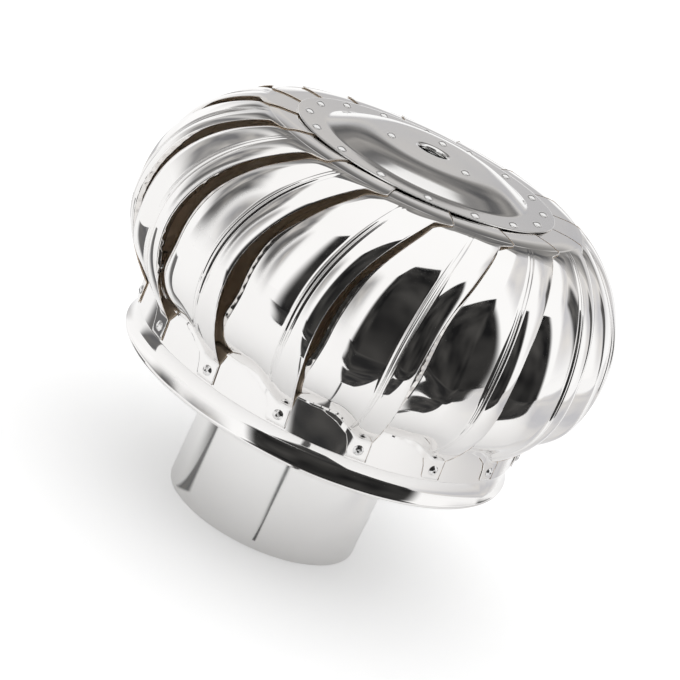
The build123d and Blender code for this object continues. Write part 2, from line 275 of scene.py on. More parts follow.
def blank(name: str) -> tuple[bpy.types.Material, Nodes, bpy.types.Node]:
    """Make a material, with a helper for its tree and its shader."""
    material = bpy.data.materials.new(name)
    material.use_nodes = True
    return material, Nodes(material.node_tree), material.node_tree.nodes["Principled BSDF"]


# Inner face of the vanes: its tan, nearly non-metallic colour is painted reflection. It stands in
# for the brown light bounced about inside the rotor and is not the sheet's own colour.
SHEET_BACK_PAINTED_REFLECTION = Metal(
    "sheet_back", (1.0, 0.86, 0.7), (0.8, 0.64, 0.48), (0.1, 0.3),
    sway=0.3, sway_scale=46.0, scratch=0.003, metallic=0.1,
)
FINISHES = {
    Slot.MIRROR: Metal(
        "mirror_sheet", (0.91, 0.9, 0.89), (0.86, 0.845, 0.83), (0.03, 0.08),
        sway_scale=30.0, scratch=0.0006,
    ),
    Slot.DULL: Metal(
        "spun_disc", (0.86, 0.85, 0.84), (0.78, 0.77, 0.76), (0.08, 0.15),
        sway=0.08, sway_scale=24.0, scratch=0.0015, grain=Grain.TURNED,
    ),
    Slot.PIPE: Metal(
        "pipe_sheet", (0.91, 0.905, 0.895), (0.86, 0.85, 0.84), (0.07, 0.14),
        sway=0.03, sway_scale=14.0, scratch=0.001, grain=Grain.UPRIGHT,
    ),
    Slot.SHEET: Metal(
        "mill_sheet", (0.62, 0.61, 0.6), (0.52, 0.51, 0.5), (0.25, 0.42),
        sway=0.03, sway_scale=14.0, scratch=0.004,
    ),
    Slot.ZINC: Metal(
        "bright_zinc", (0.82, 0.82, 0.8), (0.74, 0.75, 0.76), (0.24, 0.4),
        sway=0.02, sway_scale=30.0, scratch=0.004, metallic=0.8,
    ),
    Slot.TURNED: Metal(
        "ground_steel", (0.68, 0.68, 0.68), (0.6, 0.6, 0.61), (0.14, 0.24),
        sway=0.0, sway_scale=20.0, scratch=0.003, grain=Grain.TURNED,
    ),
    Slot.RIVET: Metal(
        "rivet_metal", (0.84, 0.83, 0.82), (0.74, 0.74, 0.74), (0.12, 0.24),
        sway=0.02, sway_scale=90.0,
    ),
    Slot.ALLOY: Metal(
        "turned_alloy", (0.6, 0.6, 0.6), (0.5, 0.5, 0.51), (0.28, 0.42),
        sway=0.02, sway_scale=30.0, scratch=0.004, grain=Grain.TURNED,
    ),
    Slot.SPRING: Metal(
        "oiled_spring", (0.12, 0.12, 0.13), (0.18, 0.16, 0.15), (0.3, 0.45),
        sway=0.0, sway_scale=30.0, scratch=0.003,
    ),
}


@dataclass
class Palette:
    """Every finish of the part, made once each."""

    made: dict[Slot, bpy.types.Material] = field(default_factory=dict)
    back: bpy.types.Material | None = None

    def build(self) -> None:
        """Make the finishes."""
        self.back = SHEET_BACK_PAINTED_REFLECTION.build()
        for slot, finish in FINISHES.items():
            self.made[slot] = finish.build()
            LOG.info("finish %s", finish.name)

    def of(self, slot: Slot) -> bpy.types.Material:
        """Return the finish of a slot."""
        return self.made[slot]

    def dress_frame(self, frame: dict) -> None:
        """Give every CAD node the finish of its slot.
        """
        slots = {row["node"]: Slot(row["material_slot"]) for row in frame["record"]["subparts"]}
        for name, node in frame["nodes"].items():
            node.data.materials.clear()
            node.data.materials.append(self.of(slots[name]))


def linked(name: str, data: bpy.types.ID) -> bpy.types.Object:
    """Make an object of some data and link it to the scene."""
    obj = bpy.data.objects.new(name, data)
    bpy.context.scene.collection.objects.link(obj)
    return obj


def new_object(
    name: str, vertices: np.ndarray, faces: list[tuple[int, ...]], material: bpy.types.Material
) -> bpy.types.Object:
    """Make a smooth mesh object at the origin.

    Args:
        name: Object name.
        vertices: Points in millimetres, one a row.
        faces: Vertex numbers of each face.
        material: Its finish.

    Returns:
        The object, linked to the scene.
    """
    mesh = bpy.data.meshes.new(name)
    mesh.from_pydata([tuple(row) for row in vertices * MM], [], faces)
    mesh.materials.append(material)
    mesh.shade_smooth()
    return linked(name, mesh)


def ease(value: np.ndarray) -> np.ndarray:
    """Smooth step from 0 to 1, held outside."""
    held = np.clip(value, 0.0, 1.0)
    return held**2 * (3.0 - 2.0 * held)


def spun(loop: np.ndarray, turns: int) -> tuple[np.ndarray, list[tuple[int, ...]]]:
    """Spin a closed outline about the axis.

    Args:
        loop: Radius and level of each point, in order round the outline.
        turns: How many copies of the outline there are.

    Returns:
        Points in millimetres and faces that look outwards.
    """
    angles = np.arange(turns) * 2.0 * math.pi / turns
    cos, sin = np.cos(angles)[:, None], np.sin(angles)[:, None]
    level = np.broadcast_to(loop[:, 1], (turns, len(loop)))
    points = np.stack((cos * loop[:, 0], sin * loop[:, 0], level), axis=-1).reshape(-1, 3)
    count = len(loop)
    faces = []
    for turn in range(turns):
        here, there = turn * count, (turn + 1) % turns * count
        for spot in range(count):
            far = (spot + 1) % count
            faces.append((here + spot, here + far, there + far, there + spot))
    after = np.roll(loop, -1, axis=0)
    if float(np.sum(loop[:, 0] * after[:, 1] - after[:, 0] * loop[:, 1])) > 0.0:
        faces = [face[::-1] for face in faces]
    return points, faces


@dataclass
class VaneForm:
    """The pressed form of one vane, whose top rivet is at turn 0.

    Across the blade run the free edge, a narrow lobe, a pressed ridge, a wide lobe and the edge
    that tucks in behind the next vane. Down the blade run the flat tongue, the crown, the skirt
    and the tab on the ring. A share is 0 at the belly and 1 at the tongue, a fall is 0 at the
    belly and 1 at the foot. A pair that is called ease has where a form starts and over how much
    it grows.
    """

    count: int = 16
    sheet: float = 0.5
    lap_clear: float = 0.1
    overlap: float = 5.0
    rows: tuple[int, int, int, int] = (16, 80, 44, 7)
    columns: tuple[int, int, int, int] = (4, 18, 22, 40)
    crown_spacing: float = 1.15
    tongue_spacing: float = 1.7

    # Tongue under the cap's rim, its bend and the ear at its free corner
    tongue_top: float = 215.4
    tongue_root: float = 60.5
    tongue_aim: float = -4.0
    tongue_wave: float = 0.05
    tongue_waves: tuple[float, float] = (5.0, 7.0)
    tongue_ease: tuple[float, float] = (74.0, 5.0)
    bend_radius: float = 90.4
    bend_round: float = 9.0
    ear_turn: float = 9.3
    ear_start: float = 0.945
    ear_rush: float = 1.4

    # Belly, skirt, foot and tab
    belly_radius: float = 134.8
    belly_level: float = 149.3
    foot_radius: float = 111.3
    foot_level: float = 102.0
    tip_level: float = 90.8
    tab_turn: float = -15.9
    bottom_turns: tuple[float, ...] = (-42.0, -26.0, -21.5, -18.0, -16.8)
    bottom_levels: tuple[float, ...] = (109.0, 108.4, 105.6, 101.4, 97.0)
    skirt_power: float = 2.1

    # Free edge and its crimped hem
    edge_turn: float = -12.3
    edge_sweep: float = 16.8
    sweep_power: float = 2.1
    foot_swing: float = 2.1
    swing_power: float = 1.5
    hem: float = 4.0
    hem_least: float = 0.02
    hem_low_ease: tuple[float, float] = (118.0, 14.0)
    hem_high_ease: tuple[float, float] = (200.0, 26.0)
    hem_lean: float = 0.35
    hem_slope: tuple[float, float] = (-0.6, 1.0)
    crimp: float = 0.22
    crimp_pitch: float = 6.4
    crimp_power: float = 0.7
    crimp_full: float = 2.0

    # Ridge, lobes and the tuck behind the next vane
    ridge_turn: float = -17.8
    ridge_sweep: float = 11.3
    ridge_rise: float = 1.15
    ridge_half: tuple[float, float] = (2.2, 3.0)
    ridge_taper: float = 0.5
    ridge_blend: tuple[float, float] = (0.4, 0.6)
    lobe_rise: float = 1.2
    lobe_share: float = 0.8
    roll_start: float = 0.33
    roll_power: float = 1.5
    tuck_depth: float = 15.5

    # Curled lip at the wide lobe's foot, with its wrinkles
    lip_lift: float = 7.6
    lip_round: float = 1.1
    lip_turn: float = -14.0
    lip_spread: float = 10.0
    wrinkle: float = 0.5
    wrinkle_waves: tuple[float, float] = (61.0, 23.0)
    wrinkle_fade: int = 10

    # Faint dents of the hand-formed sheet
    dent: float = 0.1
    dent_count: int = 4
    dent_turns: tuple[float, float] = (8.0, 26.0)
    dent_levels: tuple[float, float] = (8.0, 22.0)
    dent_phase: float = 6.0

    def __post_init__(self) -> None:
        """Work out the crown's arc."""
        rise = self.tongue_top - self.belly_level
        inset = self.belly_radius - self.bend_radius
        self.crown_radius = (rise**2 + inset**2) / (2.0 * inset)
        self.crown_angle = math.asin(rise / self.crown_radius)
        self.pitch = 360.0 / self.count
        self.lap_drop = self.sheet + self.lap_clear

    def edge(self, share: np.ndarray, low: np.ndarray) -> np.ndarray:
        """Turn of the free edge.

        Args:
            share: Height up the crown.
            low: How far down it is from the belly, 1 at the tip.

        Returns:
            Turns in degrees.
        """
        ear = ease((share - self.ear_start) / (1.0 - self.ear_start) * self.ear_rush)
        flare = (self.ear_turn - self.edge_turn - self.edge_sweep) * ear
        swing = self.foot_swing * low**self.swing_power
        return self.edge_turn + self.edge_sweep * share**self.sweep_power + flare + swing

    def ridge(self, share: np.ndarray) -> np.ndarray:
        """Turn of the pressed ridge at a height up the crown."""
        return self.ridge_turn + self.ridge_sweep * share**self.sweep_power

    def inner(self, share: np.ndarray) -> np.ndarray:
        """Turn of the tucked edge at a height up the crown."""
        start = self.edge_turn - self.pitch - self.overlap
        return start + (self.ear_turn - self.edge_turn) * share**3

    def lip(self, turn: np.ndarray) -> np.ndarray:
        """How much of the curled lip a turn has."""
        return ease((self.lip_turn - turn) / self.lip_spread)

    def bottom(self, turn: np.ndarray) -> np.ndarray:
        """Level of the vane's lower edge at a turn."""
        turns = (*self.bottom_turns, self.tab_turn)
        return np.interp(turn, turns, (*self.bottom_levels, self.tip_level))

    def rounding(self, away: np.ndarray) -> np.ndarray:
        """How far the rounded bend at the tongue's root lies under the sharp one.

        Args:
            away: Distance from the bend.

        Returns:
            Depths in millimetres.
        """
        kink = math.pi / 2.0 - self.crown_angle
        return kink * np.clip(self.bend_round - away, 0.0, None) ** 2 / (4.0 * self.bend_round)

    def grid(self) -> tuple[np.ndarray, np.ndarray, np.ndarray]:
        """Lay out the rows down the blade.

        Returns:
            For each row its share of the crown, its fall down the skirt, and its share of the
            tongue (up to 0) or of the tab (from 0).
        """
        tongue, crown, skirt, tab = self.rows
        down_crown = 1.0 - np.linspace(0, 1, crown) ** self.crown_spacing
        down_tongue = -np.linspace(1, 0, tongue + 1)[:-1] ** self.tongue_spacing
        down_skirt = np.linspace(0, 1, skirt + 1)[1:]
        down_tab = np.linspace(0, 1, tab + 1)[1:]
        share = np.concatenate([np.ones(tongue), down_crown, np.zeros(skirt + tab)])
        fall = np.concatenate([np.zeros(tongue + crown), down_skirt, np.ones(tab)])
        flat = np.concatenate([down_tongue, np.zeros(crown + skirt), down_tab])
        return share, fall, flat

    def across(self) -> tuple[np.ndarray, np.ndarray, np.ndarray]:
        """Places of the columns across the narrow lobe, the ridge and the wide lobe."""
        _, narrow, ridge, wide = self.columns
        return (
            np.linspace(0, 1, narrow)[None, :],
            np.linspace(-1, 1, ridge + 2)[None, 1:-1],
            np.linspace(0, 1, wide)[None, :],
        )

    def relief(self) -> tuple[np.ndarray, np.ndarray, np.ndarray]:
        """Pressed relief across the blade.

        Returns:
            For each column the lobes' rise, the ridge's rise and the share of the tuck.
        """
        narrow, ridge, wide = self.across()
        crest = 1.0 - (2.0 * narrow - 1.0) ** 2
        wide_crest = 1.0 - (2.0 * np.minimum(1.0, wide / self.lobe_share) - 1.0) ** 2
        broad, twin = self.ridge_blend
        bead = broad * (1.0 - ridge**2) ** 2 + twin * np.sin(np.pi * ridge) ** 2
        roll = np.clip((wide - self.roll_start) / (1.0 - self.roll_start), 0.0, None)
        lobes = np.concatenate([crest, ridge * 0, wide_crest], axis=1)
        beads = np.concatenate([narrow * 0, bead, wide * 0], axis=1)
        tuck = np.concatenate([narrow * 0, ridge * 0, roll**self.roll_power], axis=1)
        return lobes * self.lobe_rise - self.lobe_rise, beads * self.ridge_rise, tuck

    def dents(self, turn: np.ndarray, level: np.ndarray, rng: np.random.Generator) -> np.ndarray:
        """Sum of slow random waves over the blade."""
        return sum(
            np.sin(
                np.radians(turn) * rng.uniform(*self.dent_turns)
                + level / rng.uniform(*self.dent_levels)
                + rng.uniform(0, self.dent_phase)
            )
            for _ in range(self.dent_count)
        )

    def skin(self, rng: np.random.Generator) -> tuple[np.ndarray, list[tuple[int, ...]]]:
        """Build the outer skin as a grid.

        Args:
            rng: Source of the slight hand-made differences between vanes.

        Returns:
            Points in millimetres and the faces between them.
        """
        share, fall, flat = (row[:, None] for row in self.grid())
        skirt_share = (self.belly_level - self.foot_level) / (self.belly_level - self.tip_level)
        low = fall * skirt_share
        low = np.where(flat > 0, low + (1.0 - low) * flat, low)
        edge, ridge, inner = self.edge(share, low), self.ridge(share), self.inner(share)
        half = np.interp(share, (0.0, 1.0), self.ridge_half) * (1.0 - self.ridge_taper * fall)
        half_turn = np.degrees(half / self.belly_radius)

        narrow, middle, wide = self.across()
        near, far = ridge + half_turn, ridge - half_turn
        turn = np.concatenate(
            [edge + (near - edge) * narrow, ridge - half_turn * middle, far + (inner - far) * wide],
            axis=1,
        )
        rise, bead, tuck = self.relief()
        swell = rise + bead * (1.0 - share**8)
        tuck = tuck * self.tuck_depth
        drop = self.lap_drop * (edge - turn) / self.pitch

        angle = self.crown_angle * share
        inset = drop + tuck * (1.0 - share**2) - swell * (1.0 - share**4)
        inset = inset + self.rounding(self.crown_radius * (self.crown_angle - angle))
        centre = self.belly_radius - self.crown_radius
        crown_reach = centre + (self.crown_radius - inset) * np.cos(angle)
        crown_level = self.belly_level + (self.crown_radius - inset) * np.sin(angle)

        lip = self.lip(turn)
        descent = self.belly_level - self.foot_level - self.lip_lift * lip
        overhang = self.belly_radius - self.foot_radius
        bulge = overhang * (1.0 - fall ** (self.skirt_power + self.lip_round * lip))
        bulge = bulge + (swell - tuck - drop) * (1.0 - fall**2)
        fine, coarse = self.wrinkle_waves
        creased = np.sin(np.radians(turn * fine) + 2.0 * rng.random())
        creased = creased * np.sin(np.radians(turn * coarse))
        bulge = bulge + self.wrinkle * (creased + 1.0) * lip * fall**self.wrinkle_fade
        skirt_level = self.belly_level - descent * fall

        root = self.tongue_root / np.cos(np.radians(turn - self.tongue_aim))
        tongue_reach = crown_reach + (root - crown_reach) * (-np.minimum(flat, 0.0))
        tab_level = skirt_level + (self.bottom(turn) - skirt_level) * np.maximum(flat, 0.0)

        reach = np.where(fall > 0, self.foot_radius + bulge, crown_reach)
        reach = np.where(flat < 0, tongue_reach, reach)
        level = np.where(fall > 0, skirt_level, crown_level)
        by_turn, by_reach = self.tongue_waves
        start, span = self.tongue_ease
        phase = 6.0 * rng.random()
        wave = self.tongue_wave * np.sin(turn / by_turn + tongue_reach / by_reach + phase)
        wave = wave * ease((tongue_reach - start) / span)
        wave = wave - self.rounding(crown_reach - tongue_reach)
        level = np.where(flat < 0, self.tongue_top - drop + wave, level)
        level = np.where(flat > 0, tab_level, level)
        dents = self.dents(turn, level, rng)
        reach = reach + self.dent * dents * (1.0 - share**4) * (1.0 - fall**4)

        turn, reach, level = self.hemmed(turn, reach, level)
        cos, sin = np.cos(np.radians(turn)), np.sin(np.radians(turn))
        points = np.stack([reach * cos, reach * sin, level], axis=-1)
        height, width = points.shape[:2]
        faces = []
        for row in range(height - 1):
            for column in range(width - 1):
                corner = row * width + column
                faces.append((corner, corner + 1, corner + width + 1, corner + width))
        return points.reshape(-1, 3), faces

    def hemmed(
        self, turn: np.ndarray, reach: np.ndarray, level: np.ndarray
    ) -> tuple[np.ndarray, np.ndarray, np.ndarray]:
        """Add the crimped hem that the free edge is folded in to.

        Args:
            turn: Turn of every grid point.
            reach: Radius of every grid point.
            level: Level of every grid point.

        Returns:
            The three grids with the hem's columns in front.
        """
        free = level[:, :1]
        start, grow = self.hem_low_ease
        end, fade = self.hem_high_ease
        depth = self.hem * ease((free - start) / grow) * ease((end - free) / fade)
        depth = depth + self.hem_least
        along = np.linspace(1.0, 0.0, self.columns[0] + 1)[None, :-1]
        tooth = np.abs((free / self.crimp_pitch) % 1.0 * 2.0 - 1.0) * 2.0 - 1.0
        slope = np.arcsin(np.clip((free - self.belly_level) / self.crown_radius, *self.hem_slope))
        back = np.degrees(self.hem_lean * depth * along / self.belly_radius)
        bite = self.crimp * tooth * along**self.crimp_power
        bite = bite * np.minimum(1.0, depth / self.crimp_full)
        hem_turn = turn[:, :1] - back + np.degrees(bite / self.belly_radius)
        hem_reach = reach[:, :1] - depth * along * np.cos(slope)
        hem_level = free - depth * along * np.sin(slope)
        return (
            np.concatenate([hem_turn, turn], axis=1),
            np.concatenate([hem_reach, reach], axis=1),
            np.concatenate([hem_level, level], axis=1),
        )


@dataclass
class Vanes:
    """The sixteen vanes of the rotor."""

    form: VaneForm = field(default_factory=VaneForm)
    seed: int = 7

    def build(self, palette: Palette) -> None:
        """Make each vane and put it in the place of its CAD node.

        Args:
            palette: The finishes.
        """
        rng = np.random.default_rng(self.seed)
        for index in range(self.form.count):
            points, faces = self.form.skin(rng)
            turn = math.radians(index * self.form.pitch)
            cos, sin = math.cos(turn), math.sin(turn)
            placed = points @ np.array([[cos, sin, 0.0], [-sin, cos, 0.0], [0.0, 0.0, 1.0]])
            name = f"vane_{index + 1:02d}"
            vane = new_object(f"{name}_sheet", placed, faces, palette.of(Slot.MIRROR))
            self.outward(vane)
            wall = vane.modifiers.new("sheet", "SOLIDIFY")
            wall.thickness = self.form.sheet * MM
            wall.offset = -1.0
            # The inner face takes the finish whose tan colour is painted reflection.
            vane.data.materials.append(palette.back)
            wall.material_offset = 1
            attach(vane, "rotor")
            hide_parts(name)
            LOG.info("%s: %d faces", name, len(faces))

    @staticmethod
    def outward(vane: bpy.types.Object) -> None:
        """Turn a sheet's faces away from the rotor's axis, and upwards on its tongue."""
        mesh = vane.data
        lift = 50.0 * MM
        total = sum(face.normal.dot(Vector((*face.center.xy, lift))) for face in mesh.polygons)
        if total < 0.0:
            mesh.flip_normals()


@dataclass
class CapForm:
    """The spun cap: flat rim, rounded dome and an eye with a lip turned down.

    The dome's slope grows from the crown to the knee and ends at the foot. The first of each
    ease is a radius, and the second is the width over which the faint dents come or go.
    """

    rim_radius: float = 73.7
    rim_level: float = 216.3
    rim_inset: float = 2.0
    foot_radius: float = 57.6
    foot_round: float = 1.6
    knee_radius: float = 50.0
    crown_radius: float = 31.0
    height: float = 7.4
    sheet: float = 0.8
    lip_radius: float = 10.6
    lip_drop: float = 1.6
    eye_radius: float = 8.15
    eye_depth: float = 3.6
    dent: float = 0.1
    dent_waves: float = 3.0
    dent_phase: float = 0.6
    dent_inner_ease: tuple[float, float] = (12.0, 14.0)
    dent_outer_ease: tuple[float, float] = (56.0, 12.0)
    turns: int = 288
    brink_points: int = 5
    dome_points: int = 150
    lip_points: int = 9

    def profile(self) -> np.ndarray:
        """Radius and height of the top face, from the rim to the eye's lower edge."""
        edge = np.linspace(0.0, math.pi / 2.0, self.brink_points)
        brink = self.sheet / 2.0
        corner = self.rim_radius - brink
        rim = [(corner + brink * math.cos(a), -brink + brink * math.sin(a)) for a in edge]
        radii = np.linspace(self.rim_radius - self.rim_inset, self.lip_radius, self.dome_points)
        flank = ease((self.foot_radius + self.foot_round - radii) / (2.0 * self.foot_round))
        knee = self.knee_radius - self.crown_radius
        slope = flank * np.clip((radii - self.crown_radius) / knee, 0.0, 1.0)
        rise = np.concatenate(([0.0], np.cumsum((slope[1:] + slope[:-1]) / 2.0)))
        rise *= self.height / rise[-1]
        reach = self.lip_radius - self.eye_radius
        lip = [
            (
                self.lip_radius - reach * math.sin(a),
                self.height - self.lip_drop * (1.0 - math.cos(a)),
            )
            for a in np.linspace(0.0, math.pi / 2.0, self.lip_points + 1)[1:]
        ]
        foot = [(self.eye_radius, self.height - self.eye_depth)]
        return np.array(rim + list(zip(radii, rise)) + lip + foot)

    def build(self, palette: Palette) -> None:
        """Spin the cap and put it in the place of its CAD node.

        Args:
            palette: The finishes.
        """
        top = self.profile()
        step = np.gradient(top, axis=0)
        step /= np.linalg.norm(step, axis=1)[:, None]
        below = top + self.sheet * np.column_stack((-step[:, 1], step[:, 0]))
        below[: self.brink_points] = (top[self.brink_points, 0], -self.sheet)
        below[0] = (self.rim_radius - self.sheet / 2.0, -self.sheet)
        loop = np.vstack((top, below[::-1]))
        points, faces = spun(loop + (0.0, self.rim_level), self.turns)
        points[:, 2] -= self.dents(points)
        cap = new_object("top_cap", points, faces, palette.of(Slot.DULL))
        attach(cap, "rotor")
        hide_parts("top_disc")
        LOG.info("top_cap: %d faces", len(faces))

    def dents(self, points: np.ndarray) -> np.ndarray:
        """Depth of the dome's faint dents at each point."""
        radius = np.hypot(points[:, 0], points[:, 1])
        start, grow = self.dent_inner_ease
        end, fade = self.dent_outer_ease
        reach = ease((radius - start) / grow) * ease((end - radius) / fade)
        turn = np.arctan2(points[:, 1], points[:, 0])
        return self.dent * (1.0 + np.sin(self.dent_waves * turn + self.dent_phase)) * reach


@dataclass
class RingForm:
    """The spun ring under the vanes' feet: band, pressed step, cove and wired edge.

    Its bead's span has the angles in degrees at which the roll starts and ends, from the
    outward direction.
    """

    radius: float = 110.6
    top: float = 114.0
    corner: float = 0.15
    step_level: float = 89.8
    step_depth: float = 0.5
    step_margin: float = 0.2
    cove_radius: float = 109.7
    cove_level: float = 83.5
    bead_centre: float = 110.25
    bead_level: float = 75.6
    bead_tube: float = 1.75
    bead_span: tuple[float, float] = (38.0, -232.0)
    sheet: float = 0.6
    turns: int = 384
    band_points: int = 24
    step_points: int = 9
    cove_points: int = 28
    bead_points: int = 28

    def profile(self) -> np.ndarray:
        """Radius and level round the sheet's section, from the top's outer corner down."""
        levels = np.linspace(
            self.top - self.corner, self.step_level + self.step_margin, self.band_points
        )
        band = [(self.radius - self.corner, self.top)]
        band += [(self.radius, float(level)) for level in levels]
        step = [
            (self.radius - self.step_depth * float(ease(t)), self.step_level - self.step_depth * t)
            for t in np.linspace(0.0, 1.0, self.step_points)
        ]
        bead = [
            (
                self.bead_centre + self.bead_tube * math.cos(a),
                self.bead_level + self.bead_tube * math.sin(a),
            )
            for a in np.radians(np.linspace(*self.bead_span, self.bead_points))
        ]
        inset, foot = self.radius - self.step_depth, self.step_level - self.step_depth
        out, down = bead[0][0] - inset, bead[0][1] - foot
        middle = (self.cove_level - foot) / down
        bend = (self.cove_radius - inset - out * middle) / (middle * (middle - 1.0))
        cove = [
            (inset + out * t + bend * t * (t - 1.0), foot + down * t)
            for t in np.linspace(0.0, 1.0, self.cove_points + 2)[1:-1]
        ]
        inner = [(radius - self.sheet, level) for radius, level in reversed(step + cove)]
        lip = [(self.radius - self.sheet, self.top)]
        return np.array(band + step + cove + bead + inner + lip)

    def build(self, palette: Palette) -> None:
        """Spin the ring and put it in the place of its CAD node.

        Args:
            palette: The finishes.
        """
        points, faces = spun(self.profile(), self.turns)
        ring = new_object("rotor_ring", points, faces, palette.of(Slot.MIRROR))
        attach(ring, "rotor")
        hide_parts("bottom_ring")
        LOG.info("rotor_ring: %d faces", len(faces))


@dataclass
class RivetRow:
    """A ring of equal rivets, made by Geometry Nodes from one turned outline.

    Attributes:
        name: Name of the finished piece.
        node: CAD node that it replaces.
        count: Rivets in the ring.
        radius: Radius of the heads' seats.
        level: Level of the heads' seats.
        first: Turn of the first rivet.
        tilt: Turn of a rivet's axis from +Z to the radius.
        outline: Radius and height of a rivet's outline, from the top of its head down.
        segments: Sides of a turned rivet.
    """

    name: str
    node: str
    count: int
    radius: float
    level: float
    first: float
    tilt: float
    outline: list[tuple[float, float]]
    segments: int = 24

    def rivet(self) -> bpy.types.Object:
        """Turn one rivet's outline about +Z.

        Returns:
            The rivet, closed and facing outwards.
        """
        mesh = bpy.data.meshes.new(f"{self.name}_one")
        work = bmesh.new()
        points = [work.verts.new((reach * MM, 0.0, rise * MM)) for reach, rise in self.outline]
        edges = [work.edges.new(pair) for pair in zip(points, points[1:])]
        bmesh.ops.spin(
            work,
            geom=points + edges,
            cent=(0, 0, 0),
            axis=(0, 0, 1),
            angle=2.0 * math.pi,
            steps=self.segments,
            use_merge=True,
        )
        bmesh.ops.remove_doubles(work, verts=work.verts, dist=0.001 * MM)
        bmesh.ops.recalc_face_normals(work, faces=work.faces)
        work.to_mesh(mesh)
        work.free()
        mesh.shade_smooth()
        return linked(mesh.name, mesh)

    def build(self, palette: Palette) -> None:
        """Place the rivets and make them one plain mesh.

        Args:
            palette: The finishes.
        """
        one = self.rivet()
        values = {
            "Piece": one,
            "Count": self.count,
            "Radius": self.radius * MM,
            "Level": self.level * MM,
            "First": math.radians(self.first),
            "Tilt": math.radians(self.tilt),
            "Finish": palette.of(Slot.RIVET),
        }
        piece = grown(self.name, ring_tree(), values)
        bpy.data.objects.remove(one)
        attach(piece, "rotor")
        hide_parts(self.node)
        LOG.info("%s: %d rivets", self.name, self.count)


def ring_tree() -> bpy.types.NodeTree:
    """Geometry Nodes tree that sets copies of a piece evenly round the axis.

    Returns:
        The tree, made on the first call.
    """
    name = "ring_of_pieces"
    if name in bpy.data.node_groups:
        return bpy.data.node_groups[name]
    tree = bpy.data.node_groups.new(name, "GeometryNodeTree")
    face = tree.interface
    face.new_socket("Geometry", in_out="OUTPUT", socket_type="NodeSocketGeometry")
    face.new_socket("Geometry", in_out="INPUT", socket_type="NodeSocketGeometry")
    kinds = {"Piece": "Object", "Count": "Int", "Finish": "Material"}
    for label in ("Piece", "Count", "Radius", "Level", "First", "Tilt", "Finish"):
        kind = kinds.get(label, "Float")
        face.new_socket(label, in_out="INPUT", socket_type=f"NodeSocket{kind}")
    nodes = Nodes(tree)
    given = nodes.add("NodeGroupInput").outputs
    result = nodes.add("NodeGroupOutput")

    index = nodes.add("GeometryNodeInputIndex").outputs["Index"]
    step = nodes.math("DIVIDE", 2.0 * math.pi, given["Count"])
    turn = nodes.math("MULTIPLY_ADD", index, step, given["First"])
    spot = nodes.add("ShaderNodeCombineXYZ")
    for axis, part in (("X", "COSINE"), ("Y", "SINE")):
        place = nodes.math("MULTIPLY", nodes.math(part, turn), given["Radius"])
        nodes.link(place, spot.inputs[axis])
    nodes.link(given["Level"], spot.inputs["Z"])
    facing = nodes.add("ShaderNodeCombineXYZ")
    nodes.link(given["Tilt"], facing.inputs["Y"])
    nodes.link(turn, facing.inputs["Z"])
    points = nodes.add("GeometryNodePoints")
    nodes.link(given["Count"], points.inputs["Count"])
    nodes.link(spot.outputs["Vector"], points.inputs["Position"])
    piece = nodes.add("GeometryNodeObjectInfo")
    nodes.link(given["Piece"], piece.inputs["Object"])
    copies = nodes.add("GeometryNodeInstanceOnPoints")
    nodes.link(points.outputs[0], copies.inputs["Points"])
    nodes.link(piece.outputs["Geometry"], copies.inputs["Instance"])
    nodes.link(facing.outputs["Vector"], copies.inputs["Rotation"])
    real = nodes.add("GeometryNodeRealizeInstances")
    nodes.link(copies.outputs["Instances"], real.inputs["Geometry"])
    dressed = nodes.add("GeometryNodeSetMaterial")
    nodes.link(real.outputs["Geometry"], dressed.inputs["Geometry"])
    nodes.link(given["Finish"], dressed.inputs["Material"])
    nodes.link(dressed.outputs["Geometry"], result.inputs["Geometry"])
    return tree


def grown(name: str, tree: bpy.types.NodeTree, values: dict[str, object]) -> bpy.types.Object:
    """Run a Geometry Nodes tree once and keep its result as a plain mesh.

    Args:
        name: Name of the piece.
        tree: The tree.
        values: Value of each named input.

    Returns:
        The piece, at the origin and with no modifier.
    """
    seed = linked(f"{name}_seed", bpy.data.meshes.new(f"{name}_seed"))
    modifier = seed.modifiers.new("grow", "NODES")
    modifier.node_group = tree
    for item in tree.interface.items_tree:
        if item.in_out == "INPUT" and item.name in values:
            modifier[item.identifier] = values[item.name]
    graph = bpy.context.evaluated_depsgraph_get()
    graph.update()
    mesh = bpy.data.meshes.new_from_object(seed.evaluated_get(graph))
    mesh.name = name
    bpy.data.objects.remove(seed)
    return linked(name, mesh)


